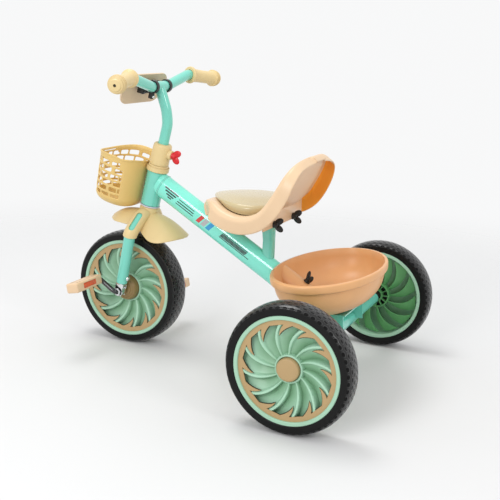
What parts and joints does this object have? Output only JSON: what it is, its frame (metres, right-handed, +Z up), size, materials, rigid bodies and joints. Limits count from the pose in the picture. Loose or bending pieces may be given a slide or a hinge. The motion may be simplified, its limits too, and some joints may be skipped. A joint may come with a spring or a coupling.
{
  "type": "pedal tricycle",
  "caption": "Child's pedal tricycle with a bucket seat, foam tyres on turbine rims, a rear bin, a front basket and a panel on its handlebar.",
  "frame": {"origin": "on the ground, at the middle of the object's box", "axes": "+X is the rider's right, +Y is forward, +Z is up"},
  "size_m": [0.544, 0.7086, 0.5808],
  "materials": {
    "mint_paint": "glossy turquoise paint",
    "mint_plastic": "satin mint",
    "tan_plastic": "satin tan",
    "cream_plastic": "satin cream",
    "yellow_plastic": "satin yellow",
    "peach_plastic": "soft gloss peach",
    "bin_plastic": "soft gloss orange-peach",
    "pad_vinyl": "glossy cream cover",
    "plate_plastic": "satin beige",
    "black_plastic": "satin black",
    "tyre_foam": "black foam",
    "chrome": "bright plating",
    "red_plastic": "glossy red",
    "reflector": "orange-red lens",
    "grey_plastic": "satin light grey",
    "black_steel": "glossy black"
  },
  "bodies": {
    "frame": {"head_tube": "mint_paint", "head_ring": "grey_plastic", "head_cover": "cream_plastic", "main_tube": "mint_paint", "rear_cross_tube": "mint_paint", "seat_post": "mint_paint", "seat_shell": "peach_plastic", "seat_pad": "pad_vinyl", "seat_wing_screw_left": "black_plastic", "seat_wing_screw_right": "black_plastic", "bin": "bin_plastic", "bin_bracket": "mint_paint", "bin_wing_screw": "black_plastic", "rear_axle": "chrome", "axle_bush_left": "black_plastic", "axle_bush_right": "black_plastic", "axle_nut_left": "chrome", "axle_nut_right": "chrome"},
    "fork": {"steerer_tube": "mint_paint", "fork_leg_left": "mint_paint", "fork_leg_right": "mint_paint", "crown_cover": "cream_plastic", "axle_bracket_left": "chrome", "axle_bracket_right": "chrome", "bracket_bolt_left": "chrome", "bracket_bolt_right": "chrome", "steering_collar": "cream_plastic", "basket": "yellow_plastic", "basket_hook": "cream_plastic"},
    "handlebar": {"handlebar_stem": "mint_paint", "handlebar_bar": "mint_paint", "grip_left": "cream_plastic", "grip_right": "cream_plastic", "bar_clamp_left": "black_plastic", "bar_clamp_right": "black_plastic", "panel_bracket": "black_plastic", "panel_plate": "plate_plastic"},
    "knob": {"clamp_knob": "red_plastic"},
    "front_wheel": {"front_tyre": "tyre_foam", "front_rim": "mint_plastic", "front_trim_left": "tan_plastic", "front_trim_right": "tan_plastic", "front_hub_cover_left": "tan_plastic", "front_hub_cover_right": "tan_plastic", "crank_axle": "black_steel"},
    "pedal_block_left": {"pedal_left": "peach_plastic", "reflector_front_left": "reflector", "reflector_back_left": "reflector"},
    "pedal_block_right": {"pedal_right": "peach_plastic", "reflector_front_right": "reflector", "reflector_back_right": "reflector"},
    "rear_wheel_left": {"rear_tyre_left": "tyre_foam", "rear_rim_left": "mint_plastic", "rear_trim_left": "tan_plastic", "hub_cap_left": "tan_plastic"},
    "rear_wheel_right": {"rear_tyre_right": "tyre_foam", "rear_rim_right": "mint_plastic", "rear_trim_right": "tan_plastic", "hub_cap_right": "tan_plastic"}
  },
  "joints": [
    {"name": "steering", "type": "hinge", "parent": "frame", "child": "fork", "pos_m": [0, 0.18096, 0.33881], "axis": [0, -0.2334, 0.9724], "range_deg": [-45, 45]},
    {"name": "handlebar_height", "type": "slide", "parent": "fork", "child": "handlebar", "axis": [0, -0.2334, 0.9724], "range_m": [-0.025, 0.03]},
    {"name": "knob_turn", "type": "hinge", "parent": "fork", "child": "knob", "pos_m": [0, 0.13381, 0.40668], "axis": [0, -0.9724, -0.2334], "range_deg": [-180, 180]},
    {"name": "front_wheel_spin", "type": "hinge", "parent": "fork", "child": "front_wheel", "pos_m": [0, 0.23325, 0.121], "axis": [1, 0, 0], "continuous": true},
    {"name": "pedal_left_spin", "type": "hinge", "parent": "front_wheel", "child": "pedal_block_left", "pos_m": [-0.1145, 0.27396, 0.14644], "axis": [1, 0, 0], "continuous": true},
    {"name": "pedal_right_spin", "type": "hinge", "parent": "front_wheel", "child": "pedal_block_right", "pos_m": [0.1145, 0.19254, 0.09556], "axis": [1, 0, 0], "continuous": true},
    {"name": "rear_wheel_left_spin", "type": "hinge", "parent": "frame", "child": "rear_wheel_left", "pos_m": [-0.2495, -0.23925, 0.115], "axis": [1, 0, 0], "continuous": true},
    {"name": "rear_wheel_right_spin", "type": "hinge", "parent": "frame", "child": "rear_wheel_right", "pos_m": [0.2495, -0.23925, 0.115], "axis": [1, 0, 0], "continuous": true}
  ]
}
